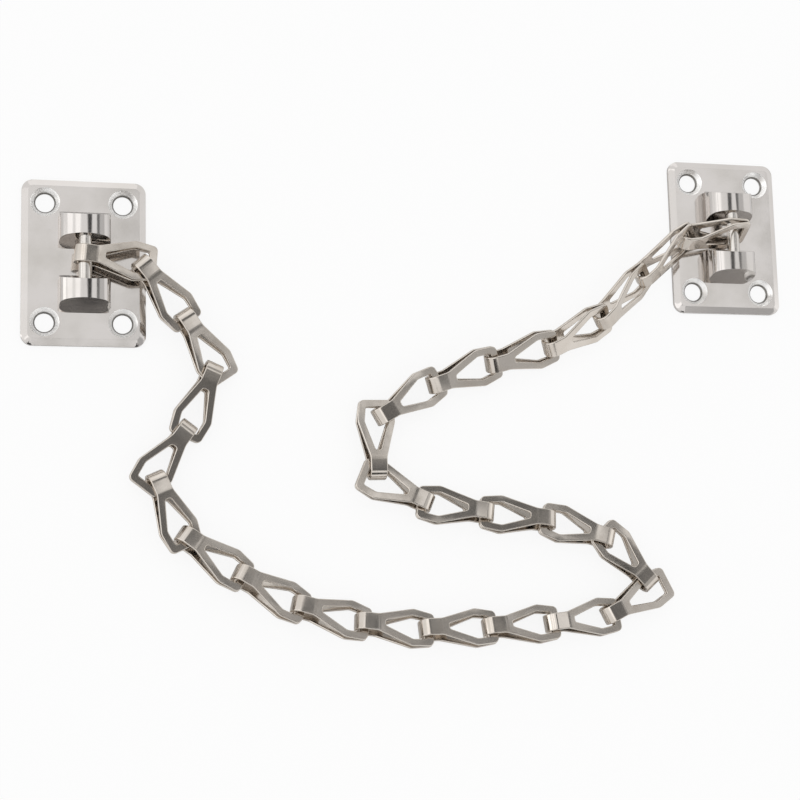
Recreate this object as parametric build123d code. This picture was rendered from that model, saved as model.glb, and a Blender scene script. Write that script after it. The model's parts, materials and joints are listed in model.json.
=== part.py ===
from build123d import *
import os
from math import asin, atan, atan2, cos, degrees, hypot, radians, sin, sqrt, tan

# A transom chain: two screw-on plates, each with a pin between two lugs, joined by a chain of folded
# sheet-metal links. It lies on a table with its plates face up, as it does when it comes out of its box.
# All lengths are in millimetres and all angles in degrees.

# Plates
PLATE_WIDTH = 30.2
PLATE_LENGTH = 41.3
PLATE_THICKNESS = 1.8
PLATE_CORNER = 2.8
BEVEL_WIDTH = 1.6
BEVEL_DEPTH = 0.8
SCREW_HOLE = 4.6
SINK_DIAMETER = 7.2
SINK_ANGLE = 82
HOLE_SPACING_X = 18.9
HOLE_SPACING_Y = 29.9

# Lugs that stand on each plate and hold its pin
LUG_WIDTH = 13.0
LUG_LENGTH = 9.3
LUG_GAP = 6.6
LUG_SHOULDER = 3.0
LUG_DRAFT = 5
LUG_CROWN_RISE = 1.8
LUG_END_SLOPE = 17
LUG_COVER = 1.0

# Pins
PIN_DIAMETER = 3.2
PIN_RISE = 5.0
PIN_SEAT = 5.0
PIN_FIT = 0.05

# Links: a bow-tie blank folded over at its neck, so that two leaves lie together behind one loop
SHEET = 0.8
PITCH = 16.4
LOOP_CLEARANCE = 0.4
NECK_WIDTH = 4.3
NECK_LENGTH = 2.8
LEAF_GAP = 0.2
CROSSBAR = 2.0
SIDE_BAR = 1.8
NECK_PLAY = 0.4
FLARE_AT = 11.8
FLARE = 0.5
LEAF_CORNER = 0.9
EYE_START = 4.6
EYE_NOSE = 1.4
BEND_FLATS = 7

# How the chain lies
SEAT_CLEARANCE = 0.5
SETTLING_ROUNDS = 4
TABLE_PLAY = 0.1
LEFT_SLIDE = 0.8
END_SLACK = 0.3
END_DROP = 0.3

# Heading and bank of each link, and how far its loop is held up off the table
POSES = [
    (-5, 0, 0.0),
    (-50, -4, 2.7),
    (-56, -6, 1.0),
    (-113, -6, 0.0),
    (-127, -4, 0.0),
    (-66, -8, 0.0),
    (-35, -14, 0.0),
    (-29, -18, 0.0),
    (-16, -18, 0.0),
    (-7, -18, 0.0),
    (1, -18, 0.0),
    (3, -15, 0.0),
    (6, -8, 0.0),
    (27, 1, 0.0),
    (132, 0, 0.0),
    (163, 8, 0.0),
    (173, 14, 0.0),
    (171, 10, 0.0),
    (156, 4, 0.0),
    (91, 2, 0.0),
    (31, 6, 0.0),
    (20, 16, 0.0),
    (16, 26, 0.0),
    (27, 35, 0.0),
    (45, 43, 0.2),
    (42, 55, 0.6),
    (8, 64, 2.4),
]

PIN_HEIGHT = PLATE_THICKNESS + PIN_RISE
LOOP_BORE = PIN_DIAMETER / 2 + LOOP_CLEARANCE
LOOP_RADIUS = LOOP_BORE + SHEET
LEAF_END = PITCH + CROSSBAR / 2
EYE_END = PITCH - CROSSBAR / 2
EYE_HALF = NECK_WIDTH / 2 + NECK_PLAY
LEAF_SLOPE = atan((LOOP_BORE - LEAF_GAP / 2) / (LEAF_END - NECK_LENGTH))


def stack_half(x):
    """Half the thickness of a link's two leaves, measured over both, at a distance x from its loop."""
    inner = LOOP_BORE - max(0, x - NECK_LENGTH) * tan(LEAF_SLOPE)
    return inner + SHEET / cos(LEAF_SLOPE)


def plate():
    """A plate with bevelled edges, countersunk holes and two lugs, its back on z = 0."""
    body = extrude(RectangleRounded(PLATE_WIDTH, PLATE_LENGTH, PLATE_CORNER), PLATE_THICKNESS)
    face = body.faces().sort_by(Axis.Z)[-1]
    body = chamfer(face.edges(), BEVEL_WIDTH, BEVEL_DEPTH, reference=face)
    reach = (LUG_GAP + LUG_LENGTH) / 2
    for side in (-1, 1):
        body += Pos(0, side * reach, PLATE_THICKNESS) * lug()
    seat = Pos(0, 0, PIN_HEIGHT) * Rot(90, 0, 0)
    body -= seat * Cylinder(PIN_DIAMETER / 2 + PIN_FIT, LUG_GAP + 2 * (PIN_SEAT + PIN_FIT))
    sink_depth = (SINK_DIAMETER - SCREW_HOLE) / 2 / tan(radians(SINK_ANGLE / 2))
    for spot in GridLocations(HOLE_SPACING_X, HOLE_SPACING_Y, 2, 2):
        body -= spot * Cylinder(SCREW_HOLE / 2, 3 * PLATE_THICKNESS)
        body -= spot * Pos(0, 0, PLATE_THICKNESS - sink_depth / 2) * Cone(
            SCREW_HOLE / 2, SINK_DIAMETER / 2, sink_depth)
    return body


def lug():
    """A half-round lug with sloping ends, its foot on z = 0 and its length along y."""
    height = PIN_RISE + PIN_DIAMETER / 2 + LUG_COVER
    flank = height - LUG_CROWN_RISE
    half = LUG_WIDTH / 2
    top = half - flank * tan(radians(LUG_DRAFT))
    with BuildSketch(Plane.XZ) as arch:
        with BuildLine():
            Line((-half, 0), (-top, flank))
            ThreePointArc((-top, flank), (0, height), (top, flank))
            Polyline((top, flank), (half, 0), (-half, 0))
        make_face()
        fillet(arch.vertices().group_by(Axis.Z)[-1], LUG_SHOULDER)
    run = height * tan(radians(LUG_END_SLOPE))
    foot = LUG_LENGTH / 2
    corners = [(-foot, 0), (foot, 0), (foot - run, height), (run - foot, height)]
    side = Plane.YZ * make_face(Polyline(*corners, close=True))
    return extrude(arch.sketch, foot, both=True) & extrude(side, half, both=True)


def pin():
    """A round pin along y, centred on the origin."""
    return Rot(90, 0, 0) * Cylinder(PIN_DIAMETER / 2, LUG_GAP + 2 * PIN_SEAT)


def leaf_half_width(x):
    """Half the width of a leaf's widening part at a distance x from the loop."""
    widest = EYE_HALF + FLARE + SIDE_BAR
    end = EYE_HALF + SIDE_BAR - FLARE / 2
    if x < FLARE_AT:
        return NECK_WIDTH / 2 + (widest - NECK_WIDTH / 2) * (x - NECK_LENGTH) / (FLARE_AT - NECK_LENGTH)
    return widest + (end - widest) * (x - FLARE_AT) / (LEAF_END - FLARE_AT)


def leaf_outline():
    """The outline of a leaf and its neck, seen square to the leaf, with the eye cut out of it."""
    neck = NECK_WIDTH / 2
    widest = leaf_half_width(FLARE_AT)
    end = leaf_half_width(LEAF_END)
    upper = [(-LOOP_RADIUS, neck), (NECK_LENGTH, neck), (FLARE_AT, widest), (LEAF_END, end)]
    lower = [(x, -y) for x, y in reversed(upper)]
    blank = make_face(Polyline(*upper, *lower, close=True))
    blank = chamfer(blank.vertices().group_by(Axis.X)[-1], LEAF_CORNER)
    eye_end = leaf_half_width(EYE_END) - SIDE_BAR
    rim = [(EYE_START, EYE_NOSE / 2), (FLARE_AT, widest - SIDE_BAR), (EYE_END, eye_end)]
    mirrored = [(x, -y) for x, y in reversed(rim)]
    return blank - make_face(Polyline(*rim, *mirrored, close=True))


def bend(radius):
    """Points of the fold at one of its radii, from its upper end round to its lower end."""
    turns = [radians(180 * flat / BEND_FLATS) for flat in range(BEND_FLATS + 1)]
    return [(-radius * sin(turn), radius * cos(turn)) for turn in turns]


def link():
    """A folded link: its loop round the y axis at the origin, its two leaves closing up along x."""
    outer = [(LEAF_END, stack_half(LEAF_END)), (NECK_LENGTH + SHEET * tan(LEAF_SLOPE / 2), LOOP_RADIUS)]
    inner = [(LEAF_END, LEAF_GAP / 2), (NECK_LENGTH, LOOP_BORE)]
    over = [*outer, *bend(LOOP_RADIUS), *[(x, -z) for x, z in reversed(outer)]]
    under = [*inner, *bend(LOOP_BORE), *[(x, -z) for x, z in reversed(inner)]]
    strip = Plane.XZ * make_face(Polyline(*over, *reversed(under), close=True))
    folded = extrude(strip, leaf_half_width(FLARE_AT), both=True)
    return folded & extrude(leaf_outline(), 2 * LOOP_RADIUS, both=True)


def lying_height(bank):
    """Height of the loop of a link that rests on the table, leaning over by its bank."""
    lean = abs(radians(bank))
    on_loop = NECK_WIDTH / 2 * sin(lean) + LOOP_RADIUS * cos(lean)
    on_leaf = leaf_half_width(FLARE_AT) * sin(lean) + stack_half(FLARE_AT) * cos(lean)
    return max(on_loop, on_leaf)


def next_loop(turn):
    """Where the next loop lies in a link's eye, when the chain turns there by an angle to the left.

    The wall of that loop stands in the eye. As it turns it draws back from the crossbar, keeps off
    the side bar on the outside of the turn and closes up to the one on the inside.
    """
    front = sqrt(LOOP_BORE ** 2 - stack_half(PITCH) ** 2)
    swing = radians(abs(turn))
    corners = [(x, y) for x in (-LOOP_RADIUS, -front) for y in (-NECK_WIDTH / 2, NECK_WIDTH / 2)]
    forward = [x * cos(swing) - y * sin(swing) for x, y in corners]
    sideways = [x * sin(swing) + y * cos(swing) for x, y in corners]
    room = EYE_HALF - SEAT_CLEARANCE / 2
    along = min(PITCH, EYE_END - SEAT_CLEARANCE - max(forward))
    across = max(0, -room - min(sideways), (room - max(sideways)) * sin(swing))
    return along, across if turn > 0 else -across


def link_frame(origin, heading, climb, bank):
    """The frame of a link: origin in its loop, x along the link and z out of its upper leaf."""
    turn = radians(heading)
    forward = Vector(cos(turn) * cos(climb), sin(turn) * cos(climb), sin(climb))
    level = Vector(-sin(turn), cos(turn), 0)
    up = forward.cross(level)
    return Plane(origin, x_dir=forward, z_dir=up * cos(radians(bank)) - level * sin(radians(bank)))


def lay_chain():
    """The frame of every link, from the left pin on, and the point where the right pin passes."""
    lying = [lying_height(bank) + TABLE_PLAY + lift for _, bank, lift in POSES[1:]]
    heights = [PIN_HEIGHT, *lying, PIN_HEIGHT]
    climbs = [0.0] * len(POSES)
    for _ in range(SETTLING_ROUNDS):
        spot = Vector(0, LEFT_SLIDE, PIN_HEIGHT)
        frames = []
        for number, (heading, bank, _) in enumerate(POSES):
            lean = radians(bank)
            if number + 1 < len(POSES):
                swerve = (POSES[number + 1][0] - heading + 180) % 360 - 180
                pitch = degrees(climbs[number + 1] - climbs[number])
                along, across = next_loop(swerve * cos(lean) + pitch * sin(lean))
            else:
                along, across = EYE_END - END_SLACK - PIN_DIAMETER / 2, -END_DROP
            rise = heights[number + 1] - heights[number]
            drop = across * sin(lean)
            climbs[number] = asin(rise / hypot(along, drop)) - atan2(drop, along)
            frame = link_frame(spot, heading, climbs[number], bank)
            frames.append(frame)
            spot = frame.from_local_coords((along, across, 0))
    return frames, spot


def build_nodes():
    """Every piece of the transom chain in its place, by name, with the origin under the middle."""
    frames, far_pin = lay_chain()
    right = Pos(far_pin.X, far_pin.Y, 0)
    one_plate = plate()
    one_pin = Pos(0, 0, PIN_HEIGHT) * pin()
    one_link = link()
    nodes = {"left_plate": one_plate, "left_pin": one_pin}
    for number, frame in enumerate(frames, 1):
        nodes[f"link_{number:02d}"] = frame.location * one_link
    nodes["right_plate"] = right * one_plate
    nodes["right_pin"] = right * one_pin
    box = Compound(list(nodes.values())).bounding_box()
    middle = box.center()
    to_origin = Pos(-middle.X, -middle.Y, -box.min.Z)
    return {name: to_origin * piece for name, piece in nodes.items()}


os.makedirs("parts", exist_ok=True)
for name, piece in build_nodes().items():
    export_step(piece, f"parts/{name}.step")
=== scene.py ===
"""A transom chain on a studio table: two plated screw plates joined by a loose chain of folded links."""

import json
import logging
from dataclasses import dataclass, field
from enum import Enum
from math import atan, cos, pi, radians, sin, tan

import bmesh
import bpy
import numpy as np
from mathutils import Matrix, Vector

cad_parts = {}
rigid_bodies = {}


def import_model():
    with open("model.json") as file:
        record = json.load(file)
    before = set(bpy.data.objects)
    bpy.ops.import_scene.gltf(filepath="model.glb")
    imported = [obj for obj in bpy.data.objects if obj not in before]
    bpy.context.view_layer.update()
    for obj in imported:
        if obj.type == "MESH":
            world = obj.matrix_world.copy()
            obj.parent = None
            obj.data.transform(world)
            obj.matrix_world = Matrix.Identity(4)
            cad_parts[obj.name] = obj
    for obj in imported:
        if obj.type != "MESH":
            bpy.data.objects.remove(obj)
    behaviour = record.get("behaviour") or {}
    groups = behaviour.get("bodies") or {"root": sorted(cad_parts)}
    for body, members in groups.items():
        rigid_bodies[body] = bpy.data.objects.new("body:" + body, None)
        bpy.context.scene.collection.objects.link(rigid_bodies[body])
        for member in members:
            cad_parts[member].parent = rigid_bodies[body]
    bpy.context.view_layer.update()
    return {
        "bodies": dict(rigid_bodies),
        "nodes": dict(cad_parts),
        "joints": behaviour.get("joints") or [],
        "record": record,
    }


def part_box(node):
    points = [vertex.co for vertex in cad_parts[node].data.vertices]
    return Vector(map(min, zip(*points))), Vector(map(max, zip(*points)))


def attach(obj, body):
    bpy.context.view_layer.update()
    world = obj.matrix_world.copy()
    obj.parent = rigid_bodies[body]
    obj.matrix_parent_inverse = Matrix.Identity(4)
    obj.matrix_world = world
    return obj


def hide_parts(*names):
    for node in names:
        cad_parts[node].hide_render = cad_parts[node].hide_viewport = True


LOG = logging.getLogger("transom_chain")
MM = 0.001
Point = tuple[float, float]
Spot = tuple[float, float, float]
Colour = tuple[float, float, float]

# Layers of the noise behind the haze, and the part of its range that shows
HAZE_DETAIL = 4.0
HAZE_RANGE = (0.35, 0.70)
# Layers of the noise behind the tooth
TOOTH_DETAIL = 2.0
# The range of a factor
UNIT = (0.0, 1.0)


class Slot(Enum):
    """The record's material slots."""

    PLATE = "plate_metal"
    PIN = "pin_metal"
    LINK = "link_metal"


class Side(Enum):
    """The two ends of the chain."""

    LEFT = "left"
    RIGHT = "right"


class Flatness(Enum):
    """How far large faces outweigh small ones in the shading."""

    BY_AREA = 50
    FULL = 100


class NodeSheet:
    """A thin writer for node trees, which keeps the wiring of a tree readable."""

    def __init__(self, tree: bpy.types.NodeTree) -> None:
        """Starts on a tree that has no nodes yet."""
        self.tree = tree
        tree.nodes.clear()

    def add(self, kind: str, **settings: object) -> bpy.types.Node:
        """Adds a node.

        Args:
            kind: The node's type name.
            settings: Attributes to set on the node.

        Returns:
            The new node.
        """
        node = self.tree.nodes.new(kind)
        for name, value in settings.items():
            setattr(node, name, value)
        return node

    def feed(self, socket: bpy.types.NodeSocket, value: object) -> None:
        """Links a socket to another socket, or sets it to a plain value.

        Args:
            socket: The input to fill.
            value: An output socket, or a value for the input itself.
        """
        if isinstance(value, bpy.types.NodeSocket):
            self.tree.links.new(value, socket)
        else:
            socket.default_value = value

    def math(self, operation: str, *values: object) -> bpy.types.NodeSocket:
        """Adds a Math node.

        Args:
            operation: The node's operation.
            values: Its inputs, as sockets or numbers.

        Returns:
            The node's output.
        """
        node = self.add("ShaderNodeMath", operation=operation)
        for socket, value in zip(node.inputs, values):
            self.feed(socket, value)
        return node.outputs[0]

    def noise(self, coordinates: bpy.types.NodeSocket, size: float, detail: float) -> bpy.types.NodeSocket:
        """Adds a Noise Texture.

        Args:
            coordinates: Where the noise is read.
            size: The size of its patches, in metres.
            detail: How many finer layers it has.

        Returns:
            The noise value.
        """
        node = self.add("ShaderNodeTexNoise")
        self.feed(node.inputs["Vector"], coordinates)
        node.inputs["Scale"].default_value = 1 / size
        node.inputs["Detail"].default_value = detail
        return node.outputs["Fac"]

    def spread(self, value: bpy.types.NodeSocket, source: Point, target: Point) -> bpy.types.NodeSocket:
        """Maps a value from one range to another.

        Args:
            value: The value to map.
            source: The range it is taken from.
            target: The range it goes to.

        Returns:
            The mapped value.
        """
        node = self.add("ShaderNodeMapRange")
        self.feed(node.inputs["Value"], value)
        for name, number in zip(("From Min", "From Max", "To Min", "To Max"), (*source, *target)):
            node.inputs[name].default_value = number
        return node.outputs["Result"]


@dataclass(frozen=True)
class Plating:
    """Bright plated metal, with hazy patches where it has dulled and a faint tooth from the tumbler.

    The patches and the tooth are given by their size and the tooth's height, in metres.
    """

    name: str
    bright: Colour
    dull: Colour
    roughness: Point
    patch: float
    tooth: float
    tooth_height: float

    def material(self) -> bpy.types.Material:
        """Builds the material.

        Returns:
            The finished material.
        """
        material = bpy.data.materials.new(self.name)
        material.use_nodes = True
        sheet = NodeSheet(material.node_tree)
        place = sheet.add("ShaderNodeTexCoord").outputs["Object"]
        haze = sheet.spread(sheet.noise(place, self.patch, HAZE_DETAIL), HAZE_RANGE, UNIT)
        colour = sheet.add("ShaderNodeMix", data_type="RGBA")
        sheet.feed(colour.inputs["Factor"], haze)
        sheet.feed(colour.inputs["A"], (*self.bright, 1.0))
        sheet.feed(colour.inputs["B"], (*self.dull, 1.0))
        bump = sheet.add("ShaderNodeBump")
        sheet.feed(bump.inputs["Height"], sheet.noise(place, self.tooth, TOOTH_DETAIL))
        sheet.feed(bump.inputs["Distance"], self.tooth_height)
        metal = sheet.add("ShaderNodeBsdfPrincipled")
        metal.inputs["Metallic"].default_value = 1.0
        sheet.feed(metal.inputs["Base Color"], self.paint_shade(sheet, place, colour.outputs["Result"]))
        sheet.feed(metal.inputs["Roughness"], sheet.spread(haze, UNIT, self.roughness))
        sheet.feed(metal.inputs["Normal"], bump.outputs["Normal"])
        output = sheet.add("ShaderNodeOutputMaterial")
        sheet.feed(output.inputs["Surface"], metal.outputs["BSDF"])
        return material

    def paint_shade(self, sheet: NodeSheet, place: bpy.types.NodeSocket,
             colour: bpy.types.NodeSocket) -> bpy.types.NodeSocket:
        """Leaves the metal's colour as it is; a finish with painted shade paints it here."""
        return colour


@dataclass(frozen=True)
class SunkPlating(Plating):
    """The dull turned face of a countersink, with a narrow band of painted shade at its foot round its
    hole.

    The band of painted shade is given by the heights at which it starts to fade and is gone, in metres.
    """

    shade_band: Point
    shade_colour: Colour

    def paint_shade(self, sheet: NodeSheet, place: bpy.types.NodeSocket,
             colour: bpy.types.NodeSocket) -> bpy.types.NodeSocket:
        """Paints shade at the foot of the countersink, darkening the metal there.

        Args:
            sheet: The writer of the material's tree.
            place: The place on the piece.
            colour: The metal's colour.

        Returns:
            The colour with the painted shade at its foot.
        """
        # Painted shade: below the band's heights the metal is darkened, fading out upwards
        apart = sheet.add("ShaderNodeSeparateXYZ")
        sheet.feed(apart.inputs[0], place)
        shaded_colour = sheet.add("ShaderNodeMix", data_type="RGBA")
        sheet.feed(shaded_colour.inputs["Factor"], sheet.spread(apart.outputs["Z"], self.shade_band, UNIT))
        sheet.feed(shaded_colour.inputs["A"], (*self.shade_colour, 1.0))
        sheet.feed(shaded_colour.inputs["B"], colour)
        return shaded_colour.outputs["Result"]


PLATE_FINISH = Plating(
    name="plated_casting", bright=(0.65, 0.62, 0.60), dull=(0.61, 0.58, 0.55), roughness=(0.08, 0.15),
    patch=9.0 * MM, tooth=0.5 * MM, tooth_height=0.002 * MM)
# The countersinks' finish paints shade in a dark band at their foot
SINK_FINISH = SunkPlating(
    name="satin_countersink", bright=(0.99, 0.98, 0.97), dull=(0.94, 0.93, 0.91), roughness=(0.34, 0.46),
    patch=2.0 * MM, tooth=0.2 * MM, tooth_height=0.006 * MM,
    shade_band=(0.60 * MM, 0.80 * MM), shade_colour=(0.24, 0.23, 0.215))
PIN_FINISH = Plating(
    name="plated_pin", bright=(0.66, 0.63, 0.60), dull=(0.60, 0.57, 0.53), roughness=(0.10, 0.20),
    patch=4.0 * MM, tooth=0.3 * MM, tooth_height=0.006 * MM)
LINK_FINISH = Plating(
    name="plated_sheet", bright=(0.67, 0.62, 0.565), dull=(0.60, 0.545, 0.485), roughness=(0.12, 0.21),
    patch=5.0 * MM, tooth=0.4 * MM, tooth_height=0.001 * MM)


def round_corners(corners: list[Point], radii: list[float], steps: int) -> list[Point]:
    """Rounds the corners of a closed outline.

    Args:
        corners: The outline's corners, in order.
        radii: One radius for each corner.
        steps: How many chords make each round.

    Returns:
        The outline with its corners replaced by arcs.
    """
    outline: list[Point] = []
    for index, (corner, radius) in enumerate(zip(corners, radii)):
        here = Vector(corner)
        back = (Vector(corners[index - 1]) - here).normalized()
        ahead = (Vector(corners[(index + 1) % len(corners)]) - here).normalized()
        half = back.angle(ahead) / 2
        centre = here + (back + ahead).normalized() * radius / sin(half)
        first = here + back * radius / tan(half) - centre
        last = here + ahead * radius / tan(half) - centre
        turn = first.angle_signed(last)
        for step in range(steps + 1):
            spot = centre + Matrix.Rotation(-turn * step / steps, 2) @ first
            outline.append((spot.x, spot.y))
    return outline


def plain_object(name: str, mesh: bpy.types.Mesh) -> bpy.types.Object:
    """Puts a mesh into the scene as an object at the origin.

    Args:
        name: The object's name.
        mesh: Its mesh, in the row's frame.

    Returns:
        The object.
    """
    mesh.name = name
    piece = bpy.data.objects.new(name, mesh)
    bpy.context.scene.collection.objects.link(piece)
    return piece


def baked(source: bpy.types.Object, name: str) -> bpy.types.Object:
    """Turns an object with modifiers into a plain mesh object and removes the source.

    Args:
        source: The object to bake.
        name: The name of the result.

    Returns:
        The plain object.
    """
    graph = bpy.context.evaluated_depsgraph_get()
    mesh = bpy.data.meshes.new_from_object(source.evaluated_get(graph), depsgraph=graph)
    bpy.data.objects.remove(source)
    return plain_object(name, mesh)


def soften_edges(piece: bpy.types.Object, width: float, segments: int, sharp: float | None, clamp: bool,
                 flatness: Flatness) -> None:
    """Rounds an object's sharp edges and keeps its flats flat.

    Args:
        piece: The object.
        width: The width of the rounding, in metres.
        segments: How many strips make the round.
        sharp: The angle past which an edge is rounded, in degrees, or None to go by the edges' weights.
        clamp: Whether the whole rounding is made narrower where faces are short.
        flatness: How far large faces outweigh small ones in the shading.
    """
    piece.data.shade_smooth()
    bevel = piece.modifiers.new("soft edges", "BEVEL")
    bevel.width = width
    bevel.segments = segments
    bevel.limit_method = "WEIGHT" if sharp is None else "ANGLE"
    bevel.angle_limit = radians(sharp or 0)
    bevel.loop_slide = False
    bevel.use_clamp_overlap = clamp
    flats = piece.modifiers.new("flats", "WEIGHTED_NORMAL")
    flats.weight = flatness.value


def seat_piece(piece: bpy.types.Object, node: str, body: str) -> None:
    """Lets a piece stand for a CAD node and move with its body.

    Args:
        piece: The finished piece.
        node: The node that it stands for.
        body: The body that it moves with.
    """
    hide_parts(node)
    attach(piece, body)
    LOG.info("%s stands for %s on %s, %d faces", piece.name, node, body, len(piece.data.polygons))


@dataclass
class FoldedLink:
    """One link: a bow-tie blank with an eye in each leaf, folded over at its neck.

    Sizes in millimetres, angles in degrees.
    """

    sheet: float = 0.79
    pitch: float = 16.4
    bore: float = 2.0
    neck_width: float = 4.3
    neck_length: float = 2.8
    leaf_gap: float = 0.2
    crossbar: float = 2.0
    side_bar: float = 1.8
    eye_half: float = 2.55
    flare_at: float = 11.8
    flare: float = 0.5
    eye_start: float = 4.6
    eye_nose: float = 1.4
    leaf_hollow: float = 0.14
    leaf_crown: float = 0.16
    bend_ease: float = 1.96
    end_trim: float = 0.08
    ease_strips: int = 4
    leaf_strips: int = 6
    plain_end: float = 1.0
    neck_round: float = 4.0
    flare_round: float = 2.8
    end_round: float = 1.3
    eye_round: float = 0.45
    nose_round: float = 0.65
    eye_flare_round: float = 2.0
    edge_round: float = 0.25
    edge_strips: int = 3
    fold_strips: int = 28
    edge_angle: float = 40
    round_steps: int = 6
    weld: float = 0.06
    weld_reach: float = 0.072
    flat_angle: float = 1

    @property
    def leaf_end(self) -> float:
        """How far a leaf reaches from the middle of the loop."""
        return self.pitch + self.crossbar / 2

    @property
    def fold_radius(self) -> float:
        """The radius of the fold at the middle of the sheet."""
        return self.bore + self.sheet / 2

    @property
    def slope(self) -> float:
        """The angle at which each leaf closes up to the other one."""
        return atan((self.bore - self.leaf_gap / 2) / (self.leaf_end - self.neck_length))

    @property
    def half_width(self) -> float:
        """Half the width of a leaf where it is widest."""
        return self.eye_half + self.flare + self.side_bar

    @property
    def leaf_run(self) -> float:
        """The length of a leaf along the sheet, from the neck to its end."""
        return (self.leaf_end - self.neck_length) / cos(self.slope)

    def along(self, x: float) -> float:
        """Where a point of the folded leaf lies along the flat blank.

        Args:
            x: Its distance from the middle of the loop, past the neck.

        Returns:
            Its distance from the middle of the blank.
        """
        return pi / 2 * self.fold_radius + self.neck_length + (x - self.neck_length) / cos(self.slope)

    def blank(self) -> bpy.types.Mesh:
        """Cuts the flat blank, with a line across it at every strip of the fold.

        Returns:
            The blank as a flat mesh in metres, its length along X.
        """
        neck = self.neck_width / 2
        widest = self.half_width
        end = self.eye_half + self.side_bar - self.flare / 2
        edge = [(self.along(self.leaf_end - self.end_trim), end), (self.along(self.flare_at), widest),
                (self.along(self.neck_length), neck)]
        radii = [self.end_round, self.flare_round, self.neck_round]
        quarter = edge + [(-x, y) for x, y in reversed(edge)]
        corners = quarter + [(x, -y) for x, y in reversed(quarter)]
        outline = round_corners(corners, (radii + radii[::-1]) * 2, self.round_steps)

        eye_end = self.pitch - self.crossbar / 2
        taper = (eye_end - self.flare_at) / (self.leaf_end - self.flare_at)
        tail = widest + (end - widest) * taper - self.side_bar
        rim = [(self.along(eye_end), tail), (self.along(self.flare_at), widest - self.side_bar),
               (self.along(self.eye_start), self.eye_nose / 2)]
        rim += [(x, -y) for x, y in reversed(rim)]
        eye_radii = [self.eye_round, self.eye_flare_round, self.nose_round]
        eye = round_corners(rim, eye_radii + eye_radii[::-1], self.round_steps)

        cut = bmesh.new()
        edges = []
        for loop in (outline, eye, [(-x, y) for x, y in eye]):
            corners_cut = [cut.verts.new((x * MM, y * MM, 0)) for x, y in loop]
            edges += [cut.edges.new(pair) for pair in zip(corners_cut, corners_cut[1:] + corners_cut[:1])]
        bmesh.ops.triangle_fill(cut, use_beauty=True, use_dissolve=False, edges=edges)
        self.crease(cut)
        mesh = bpy.data.meshes.new("blank")
        cut.to_mesh(mesh)
        cut.free()
        return mesh

    def crease(self, cut: bmesh.types.BMesh) -> None:
        """Cuts the blank across where it bends, and joins up what stays flat.

        Args:
            cut: The filled blank.
        """
        quarter = pi / 2 * self.fold_radius
        turns = [quarter * (2 * strip / self.fold_strips - 1) for strip in range(self.fold_strips + 1)]
        start = self.along(self.neck_length)
        dips = [start + self.bend_ease * (strip / self.ease_strips - 0.5)
                for strip in range(self.ease_strips + 1)]
        hollow_run = self.along(self.pitch - self.crossbar / 2 - self.plain_end) - start
        # The first line of the hollow would lie among those of the eased bend
        dips += [start + hollow_run * strip / self.leaf_strips for strip in range(2, self.leaf_strips + 1)]
        spots = [spot * MM for spot in (*turns, *dips, *(-dip for dip in dips))]
        for spot in spots:
            everything = cut.verts[:] + cut.edges[:] + cut.faces[:]
            bmesh.ops.bisect_plane(cut, geom=everything, plane_co=(spot, 0, 0), plane_no=(1, 0, 0))
        bmesh.ops.remove_doubles(cut, verts=cut.verts[:], dist=self.weld * MM)
        across = {edge for edge in cut.edges if self.on_crease(edge, spots)}
        flats = [edge for edge in cut.edges if edge not in across and len(edge.link_faces) == 2]
        bmesh.ops.dissolve_limit(cut, angle_limit=radians(self.flat_angle), verts=[], edges=flats)
        # A corner that is left in the middle of a crease has no shading normal of its own
        idle = [vert for vert in cut.verts
                if len(vert.link_edges) == 2 and all(len(edge.link_faces) == 2 for edge in vert.link_edges)]
        bmesh.ops.dissolve_verts(cut, verts=idle)
        for face in cut.faces:
            if face.normal.z < 0:
                face.normal_flip()

    def on_crease(self, edge: bmesh.types.BMEdge, spots: list[float]) -> bool:
        """Tells whether an edge of the blank lies along a crease.

        Args:
            edge: The edge.
            spots: Where the creases are along X, in metres.

        Returns:
            True if both its ends lie on one crease, give or take what the weld moved them.
        """
        spare = self.weld_reach * MM
        return any(all(abs(vert.co.x - spot) < spare for vert in edge.verts) for spot in spots)


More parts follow.
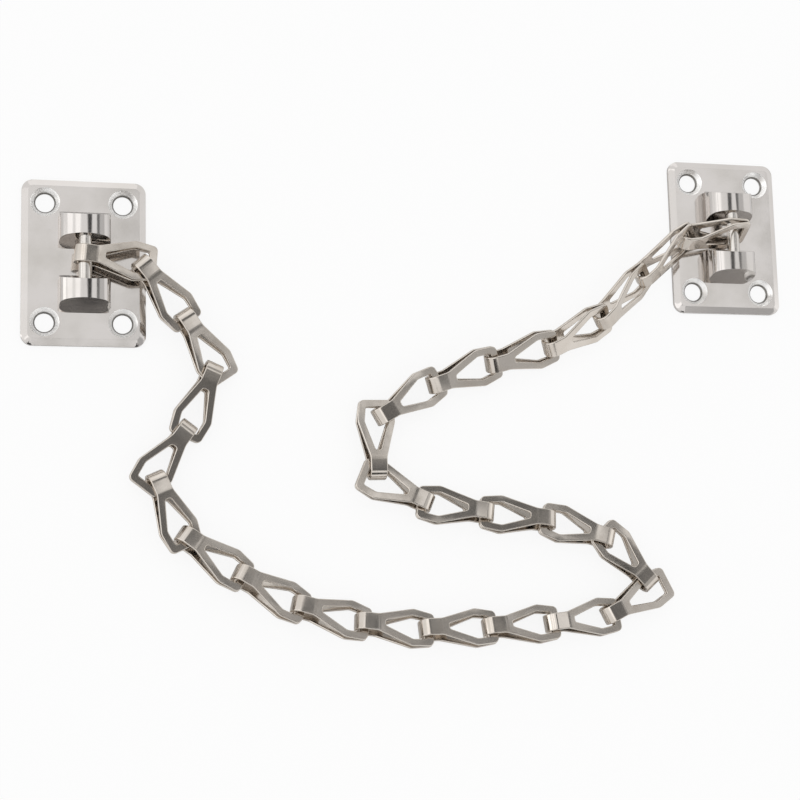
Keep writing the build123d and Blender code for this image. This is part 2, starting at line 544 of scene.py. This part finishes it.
class FoldTree:
    """The node tree that folds a flat blank into a link and lays it in its place in the chain."""

    SIZES = ("Fold Radius", "Neck Length", "Bend Ease", "Leaf Slope", "Leaf Length", "Leaf Hollow",
             "Leaf Crown", "Leaf Half Width")
    PLACES = ("Loop Centre", "Turn")

    def __init__(self, name: str) -> None:
        """Builds the tree with its named inputs.

        Args:
            name: The tree's name.
        """
        self.tree = bpy.data.node_groups.new(name, "GeometryNodeTree")
        face = self.tree.interface
        face.new_socket("Geometry", in_out="INPUT", socket_type="NodeSocketGeometry")
        kinds = {label: "NodeSocketFloat" for label in self.SIZES}
        kinds.update({label: "NodeSocketVector" for label in self.PLACES})
        kinds["Finish"] = "NodeSocketMaterial"
        self.keys: dict[str, str] = {
            label: face.new_socket(label, in_out="INPUT", socket_type=kind).identifier
            for label, kind in kinds.items()}
        face.new_socket("Geometry", in_out="OUTPUT", socket_type="NodeSocketGeometry")
        self.wire(NodeSheet(self.tree))

    def wire(self, sheet: NodeSheet) -> None:
        """Wires the fold: round the bend first, then straight along the neck, then down the leaf.

        Args:
            sheet: The writer of the tree.
        """
        inputs = sheet.add("NodeGroupInput").outputs
        apart = sheet.add("ShaderNodeSeparateXYZ")
        sheet.feed(apart.inputs[0], sheet.add("GeometryNodeInputPosition").outputs[0])
        radius, neck, ease, slope, length, hollow, crown, half = (inputs[label] for label in self.SIZES)
        calc = sheet.math
        side = calc("SIGN", apart.outputs["X"])
        run = calc("ABSOLUTE", apart.outputs["X"])
        bend_run = calc("MULTIPLY", radius, pi / 2)
        turn = calc("DIVIDE", calc("MINIMUM", run, bend_run), radius)
        past_bend = calc("MAXIMUM", calc("SUBTRACT", run, bend_run), 0.0)
        on_neck = calc("MINIMUM", past_bend, neck)
        on_leaf = calc("SUBTRACT", past_bend, on_neck)
        reach = calc("MULTIPLY_ADD", on_leaf, calc("COSINE", slope), on_neck)
        x = calc("SUBTRACT", reach, calc("MULTIPLY", radius, calc("COSINE", turn)))
        # The leaf bends down over the length of the ease, half of which lies on the neck
        bent = calc("SUBTRACT", past_bend, calc("SUBTRACT", neck, calc("MULTIPLY", ease, 0.5)))
        bending = calc("MINIMUM", calc("MAXIMUM", bent, 0.0), ease)
        straight = calc("MAXIMUM", calc("SUBTRACT", bent, ease), 0.0)
        eased = calc("DIVIDE", calc("MULTIPLY", bending, bending), calc("MULTIPLY", ease, 2.0))
        drop = calc("MULTIPLY", calc("ADD", eased, straight), calc("SINE", slope))
        # The leaf is hollow along its length, deepest halfway
        part = calc("DIVIDE", on_leaf, length)
        arch = calc("MULTIPLY", part, calc("SUBTRACT", 1.0, part))
        dip = calc("MULTIPLY", calc("MULTIPLY", arch, 4.0), hollow)
        # Its sides fall away, more towards its end
        aside = calc("DIVIDE", apart.outputs["Y"], half)
        fall = calc("MULTIPLY", calc("MULTIPLY", aside, aside), calc("MULTIPLY", part, crown))
        level = calc("MULTIPLY", radius, calc("SINE", turn))
        rise = calc("SUBTRACT", calc("SUBTRACT", level, drop), calc("ADD", dip, fall))
        folded = sheet.add("ShaderNodeCombineXYZ")
        sheet.feed(folded.inputs["X"], x)
        sheet.feed(folded.inputs["Y"], apart.outputs["Y"])
        sheet.feed(folded.inputs["Z"], calc("MULTIPLY", rise, side))
        moved = sheet.add("GeometryNodeSetPosition")
        sheet.feed(moved.inputs["Geometry"], inputs["Geometry"])
        sheet.feed(moved.inputs["Position"], folded.outputs[0])
        laid = sheet.add("GeometryNodeTransform")
        sheet.feed(laid.inputs["Geometry"], moved.outputs["Geometry"])
        sheet.feed(laid.inputs["Translation"], inputs["Loop Centre"])
        sheet.feed(laid.inputs["Rotation"], inputs["Turn"])
        real = sheet.add("GeometryNodeRealizeInstances")
        sheet.feed(real.inputs["Geometry"], laid.outputs["Geometry"])
        dressed = sheet.add("GeometryNodeSetMaterial")
        sheet.feed(dressed.inputs["Geometry"], real.outputs["Geometry"])
        sheet.feed(dressed.inputs["Material"], inputs["Finish"])
        sheet.feed(sheet.add("NodeGroupOutput").inputs["Geometry"], dressed.outputs["Geometry"])

    def apply(self, piece: bpy.types.Object, values: dict[str, object]) -> None:
        """Puts the tree on an object.

        Args:
            piece: The object with the flat blank.
            values: A value for each named input.
        """
        modifier = piece.modifiers.new("fold", "NODES")
        modifier.node_group = self.tree
        for label, value in values.items():
            modifier[self.keys[label]] = value


@dataclass
class Chain:
    """The loose chain between the two plates.

    It holds its nodes' names, its link, and how many decimals of a metre tell two corners apart.
    """

    nodes: list[str]
    link: FoldedLink = field(default_factory=FoldedLink)
    digits: int = 6

    def place(self, node: bpy.types.Object) -> tuple[Vector, Matrix]:
        """Finds how a link lies from the solid that stands there.

        Args:
            node: The link's CAD node.

        Returns:
            The middle of its loop, and its axes as a rotation.
        """
        corners = np.array([vert.co for vert in node.data.vertices], float)
        corners = np.unique(corners.round(self.digits), axis=0)
        middle = corners.mean(0)
        _, axes = np.linalg.eigh(np.cov((corners - middle).T))
        up, length = axes[:, 0], axes[:, 2]
        up = up if up[2] > 0 else -up
        run = (corners - middle) @ length
        thick = np.abs((corners - middle) @ up)
        if thick[run > run.max() / 2].mean() > thick[run < run.min() / 2].mean():
            length, run = -length, -run
        loop = middle + length * (run.max() - self.link.leaf_end * MM)
        across = np.cross(up, length)
        return Vector(loop), Matrix((length, across, up)).transposed()

    def build(self, frame: dict, finish: bpy.types.Material) -> None:
        """Folds every link and lays it where its solid is.

        Args:
            frame: The loaded frame.
            finish: The links' material.
        """
        fold = FoldTree("fold a link")
        blank = self.link.blank()
        for name in self.nodes:
            loop, axes = self.place(frame["nodes"][name])
            flat = plain_object(f"{name}_blank", blank.copy())
            fold.apply(flat, {
                "Fold Radius": self.link.fold_radius * MM, "Neck Length": self.link.neck_length * MM,
                "Bend Ease": self.link.bend_ease * MM, "Leaf Slope": self.link.slope,
                "Leaf Length": self.link.leaf_run * MM, "Leaf Hollow": self.link.leaf_hollow * MM,
                "Leaf Crown": self.link.leaf_crown * MM, "Leaf Half Width": self.link.half_width * MM,
                "Loop Centre": loop, "Turn": Vector(axes.to_euler()), "Finish": finish})
            wall = flat.modifiers.new("sheet", "SOLIDIFY")
            wall.thickness = self.link.sheet * MM
            wall.offset = 0
            wall.use_even_offset = True
            soften_edges(flat, self.link.edge_round * MM, self.link.edge_strips, self.link.edge_angle,
                         clamp=False, flatness=Flatness.BY_AREA)
            seat_piece(baked(flat, f"folded_{name}"), name, name)


@dataclass
class EndPlate:
    """A plate with its lugs, and the pin that they hold. Sizes in millimetres, angles in degrees.

    The lugs' standing corners are rounded by corner_round, their crests by rim_share of it and all
    other sharp edges by edge_share of it.
    """

    side: Side
    face: float = 1.8
    lug_from: float = 3.6
    standing_climb: float = 0.6
    corner_round: float = 1.1
    edge_share: float = 0.27
    rim_share: float = 0.42
    edge_strips: int = 3
    sharp_from: float = 22
    weld: float = 0.001
    flat_angle: float = 0.5
    sink_lean: Point = (0.5, 0.8)
    pin_round: float = 0.2
    pin_strips: int = 72
    pin_angle: float = 40

    def build_plate(self, frame: dict, finish: bpy.types.Material, sink_finish: bpy.types.Material) -> None:
        """Copies the cast plate and softens its edges, as plating and polishing leave them.

        Args:
            frame: The loaded frame.
            finish: The plate's material.
            sink_finish: The material of the countersinks.
        """
        name = f"{self.side.value}_plate"
        cast = bmesh.new()
        cast.from_mesh(frame["nodes"][name].data)
        bmesh.ops.remove_doubles(cast, verts=cast.verts[:], dist=self.weld * MM)
        bmesh.ops.dissolve_limit(cast, angle_limit=radians(self.flat_angle), verts=cast.verts[:],
                                 edges=cast.edges[:])
        self.weigh_edges(cast)
        mesh = bpy.data.meshes.new(name)
        cast.to_mesh(mesh)
        cast.free()
        mesh.materials.clear()
        mesh.materials.append(finish)
        mesh.materials.append(sink_finish)
        for face in mesh.polygons:
            leans = self.sink_lean[0] < face.normal.z < self.sink_lean[1]
            face.material_index = int(leans and face.center.z < self.face * MM)
        rough = plain_object(f"{name}_rough", mesh)
        soften_edges(rough, self.corner_round * MM, self.edge_strips, None, clamp=True,
                     flatness=Flatness.FULL)
        seat_piece(baked(rough, f"cast_{name}"), name, self.side.value)

    def weigh_edges(self, cast: bmesh.types.BMesh) -> None:
        """Marks how far each sharp edge is rounded: the standing corners of the lugs most.

        Args:
            cast: The plate's merged mesh.
        """
        weight = cast.edges.layers.float.new("bevel_weight_edge")
        for edge in cast.edges:
            if len(edge.link_faces) != 2 or edge.calc_face_angle() < radians(self.sharp_from):
                continue
            foot, head = sorted(vert.co.z for vert in edge.verts)
            climbs = head - foot > self.standing_climb * edge.calc_length()
            if climbs and head > self.lug_from * MM:
                edge[weight] = 1.0
            else:
                edge[weight] = self.rim_share if foot > self.lug_from * MM else self.edge_share

    def build_pin(self, finish: bpy.types.Material) -> None:
        """Turns the pin, with rounded ends, along the axis of the solid pin.

        Args:
            finish: The pin's material.
        """
        name = f"{self.side.value}_pin"
        low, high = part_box(name)
        middle = (low + high) / 2
        radius = (high.z - low.z) / 2
        half = (high.y - low.y) / 2
        turned = bmesh.new()
        bmesh.ops.create_cone(turned, cap_ends=True, segments=self.pin_strips, radius1=radius,
                              radius2=radius, depth=2 * half)
        turned.transform(Matrix.Translation(middle) @ Matrix.Rotation(radians(90), 4, "X"))
        mesh = bpy.data.meshes.new(name)
        turned.to_mesh(mesh)
        turned.free()
        mesh.materials.append(finish)
        rough = plain_object(f"{name}_rough", mesh)
        soften_edges(rough, self.pin_round * MM, self.edge_strips, self.pin_angle, clamp=True,
                     flatness=Flatness.FULL)
        seat_piece(baked(rough, f"turned_{name}"), name, self.side.value)


@dataclass(frozen=True)
class Softbox:
    """A soft lamp that faces the table: where it stands, its sides and its power. Lengths in metres."""

    name: str
    spot: Spot
    width: float
    height: float
    power: float


@dataclass(frozen=True)
class Card:
    """A plain board over the table that the metal mirrors: its middle, its sides and how light it is."""

    name: str
    middle: Spot
    width: float
    height: float
    light: float


@dataclass
class Studio:
    """Table, light and camera. Lengths in metres, angles in degrees."""

    lens: float = 79.0
    distance: float = 0.445
    camera_left: float = 14.0
    camera_below: float = 9.0
    roll: float = -1.4
    target: Point = (-0.0057, -0.0014)
    table: float = 8.0
    table_drop: float = 0.0001
    table_colour: Colour = (0.92, 0.92, 0.92)
    table_glow: float = 0.86
    ambient: float = 0.9
    card_fade: float = 0.12
    lamps: tuple[Softbox, ...] = (
        Softbox("lamp_left", (-1.60, 0.10, 0.40), 1.0, 0.6, 1.5),
        Softbox("lamp_right", (1.60, 0.05, 0.35), 1.0, 0.6, 0.5),
        Softbox("lamp_top", (-0.10, 1.60, 0.70), 1.2, 0.6, 0.5),
    )
    cards: tuple[Card, ...] = (
        Card("card_near", (0.375, -0.30, 2.0), 1.55, 1.14, 0.17),
        Card("card_column", (0.385, 0.465, 2.0), 0.40, 0.39, 0.06),
        Card("card_second_column", (1.26, 0.55, 1.99), 0.18, 0.56, 0.08),
        Card("card_far", (0.03, 1.225, 2.0), 1.06, 0.93, 0.16),
        Card("card_far_right", (0.855, 1.31, 2.0), 0.59, 0.76, 0.17),
        Card("card_right_spot", (1.86, 1.18, 1.98), 0.34, 0.40, 0.24),
        Card("card_right", (1.895, 0.65, 2.0), 1.49, 1.60, 0.66),
        Card("card_right_far", (1.895, 1.75, 2.0), 1.49, 0.60, 0.31),
        Card("card_right_stripe", (1.42, 1.05, 1.99), 0.16, 1.40, 0.14),
        Card("card_corner", (2.20, -1.30, 2.0), 2.10, 2.20, 0.54),
        Card("card_low", (0.00, -3.47, 2.0), 3.00, 3.05, 0.04),
        Card("card_window", (-1.25, 0.30, 2.0), 1.60, 2.80, 1.45),
        Card("card_window_bar", (-1.09, 0.62, 1.98), 0.26, 1.30, 1.05),
        Card("card_side_window", (-2.60, 0.30, 2.0), 1.00, 2.80, 1.15),
    )

    def build_table(self) -> None:
        """Lays a pale table that stays white to the eye and keeps a soft shadow."""
        flat = bmesh.new()
        bmesh.ops.create_grid(flat, x_segments=1, y_segments=1, size=self.table / 2)
        mesh = bpy.data.meshes.new("table")
        flat.to_mesh(mesh)
        flat.free()
        table = plain_object("table", mesh)
        table.location.z = -self.table_drop
        material = bpy.data.materials.new("pale_table")
        material.use_nodes = True
        sheet = NodeSheet(material.node_tree)
        paint = sheet.add("ShaderNodeBsdfDiffuse")
        sheet.feed(paint.inputs["Color"], (*self.table_colour, 1.0))
        glow = sheet.add("ShaderNodeEmission")
        both = sheet.add("ShaderNodeMixShader")
        camera_ray = sheet.add("ShaderNodeLightPath").outputs["Is Camera Ray"]
        sheet.feed(both.inputs[0], sheet.math("MULTIPLY", camera_ray, self.table_glow))
        sheet.feed(both.inputs[1], paint.outputs[0])
        sheet.feed(both.inputs[2], glow.outputs[0])
        sheet.feed(sheet.add("ShaderNodeOutputMaterial").inputs["Surface"], both.outputs[0])
        mesh.materials.append(material)

    @staticmethod
    def seen(sheet: NodeSheet) -> bpy.types.NodeSocket:
        """Tells what the eye sees, straight or in metal, from what only lights the object.

        Args:
            sheet: The writer of the tree that asks.

        Returns:
            A value that is 1 for such rays and 0 for the others.
        """
        path = sheet.add("ShaderNodeLightPath").outputs
        mirrored = sheet.math("MAXIMUM", path["Is Glossy Ray"], path["Is Transmission Ray"])
        return sheet.math("MAXIMUM", path["Is Camera Ray"], mirrored)

    def build_world(self) -> None:
        """Makes the room round the table: white to look at, softer as a light."""
        world = bpy.data.worlds.new("room")
        world.use_nodes = True
        sheet = NodeSheet(world.node_tree)
        room = sheet.add("ShaderNodeBackground")
        sheet.feed(room.inputs["Color"], (1.0, 1.0, 1.0, 1.0))
        sheet.feed(room.inputs["Strength"], sheet.spread(self.seen(sheet), UNIT, (self.ambient, 1.0)))
        sheet.feed(sheet.add("ShaderNodeOutputWorld").inputs["Surface"], room.outputs[0])
        bpy.context.scene.world = world

    def build_lamps(self) -> None:
        """Hangs the soft lamps, each facing the middle of the table."""
        for box in self.lamps:
            light = bpy.data.lights.new(box.name, "AREA")
            light.shape = "RECTANGLE"
            light.size, light.size_y = box.width, box.height
            light.energy = box.power
            lamp = bpy.data.objects.new(box.name, light)
            lamp.matrix_world = facing(Vector(box.spot), Vector())
            bpy.context.scene.collection.objects.link(lamp)

    def build_cards(self) -> None:
        """Hangs the dark and grey cards that give the bright metal its stripes."""
        for card in self.cards:
            flat = bmesh.new()
            bmesh.ops.create_grid(flat, x_segments=1, y_segments=1, size=0.5)
            sides = (card.width + self.card_fade, card.height + self.card_fade, 1, 1)
            flat.transform(Matrix.Translation(card.middle) @ Matrix.Diagonal(sides))
            mesh = bpy.data.meshes.new(card.name)
            flat.to_mesh(mesh)
            flat.free()
            mesh.materials.append(self.card_material(card))
            board = plain_object(card.name, mesh)
            board.visible_camera = False
            board.visible_shadow = False
            board.visible_diffuse = False

    def card_material(self, card: Card) -> bpy.types.Material:
        """Makes the paint of a card, which fades out along its border so that no edge shows.

        Args:
            card: The card to paint.

        Returns:
            The material.
        """
        material = bpy.data.materials.new(card.name)
        material.use_nodes = True
        sheet = NodeSheet(material.node_tree)
        spot = sheet.add("ShaderNodeSeparateXYZ")
        sheet.feed(spot.inputs[0], sheet.add("ShaderNodeTexCoord").outputs["Generated"])
        margins = []
        for label, length in (("X", card.width), ("Y", card.height)):
            near = spot.outputs[label]
            inside = sheet.math("MINIMUM", near, sheet.math("SUBTRACT", 1.0, near))
            margins.append(sheet.math("MULTIPLY", inside, (length + self.card_fade) / self.card_fade))
        paint = sheet.math("MINIMUM", sheet.math("MINIMUM", *margins), 1.0)
        glow = sheet.add("ShaderNodeEmission")
        sheet.feed(glow.inputs["Strength"], card.light)
        both = sheet.add("ShaderNodeMixShader")
        sheet.feed(both.inputs[0], paint)
        sheet.feed(both.inputs[1], sheet.add("ShaderNodeBsdfTransparent").outputs[0])
        sheet.feed(both.inputs[2], glow.outputs[0])
        sheet.feed(sheet.add("ShaderNodeOutputMaterial").inputs["Surface"], both.outputs[0])
        return material

    def build_camera(self) -> None:
        """Sets the camera over the table, a little to the left and below, as the photograph was taken."""
        target = Vector((*self.target, 0))
        back = Vector((-tan(radians(self.camera_left)), -tan(radians(self.camera_below)), 1)).normalized()
        camera = bpy.data.cameras.new("camera")
        camera.lens = self.lens
        holder = bpy.data.objects.new("camera", camera)
        turned = facing(target + back * self.distance, target) @ Matrix.Rotation(radians(self.roll), 4, "Z")
        holder.matrix_world = turned
        bpy.context.scene.collection.objects.link(holder)
        bpy.context.scene.camera = holder

    def build(self) -> None:
        """Builds the table, the room, the lamps, the cards and the camera."""
        self.build_table()
        self.build_world()
        self.build_lamps()
        self.build_cards()
        self.build_camera()
        bpy.context.scene.view_settings.view_transform = "Standard"


def facing(spot: Vector, target: Vector) -> Matrix:
    """The placing of a lamp or camera that looks at a point, with the table's +Y upwards in its view.

    Args:
        spot: Where it stands.
        target: What it faces.

    Returns:
        Its matrix.
    """
    back = (spot - target).normalized()
    right = Vector((0, 1, 0)).cross(back).normalized()
    turned = Matrix((right, back.cross(right), back)).transposed().to_4x4()
    return Matrix.Translation(spot) @ turned


def main() -> None:
    """Loads the frame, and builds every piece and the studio."""
    logging.basicConfig(level=logging.INFO, format="%(message)s")
    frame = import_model()
    links = sorted(name for name in frame["nodes"] if name.startswith("link_"))
    Chain(links).build(frame, LINK_FINISH.material())
    finishes = (PLATE_FINISH, SINK_FINISH, PIN_FINISH)
    plate_finish, sink_finish, pin_finish = (finish.material() for finish in finishes)
    for side in Side:
        end = EndPlate(side)
        end.build_plate(frame, plate_finish, sink_finish)
        end.build_pin(pin_finish)
    Studio().build()


if __name__ == "__main__":
    main()
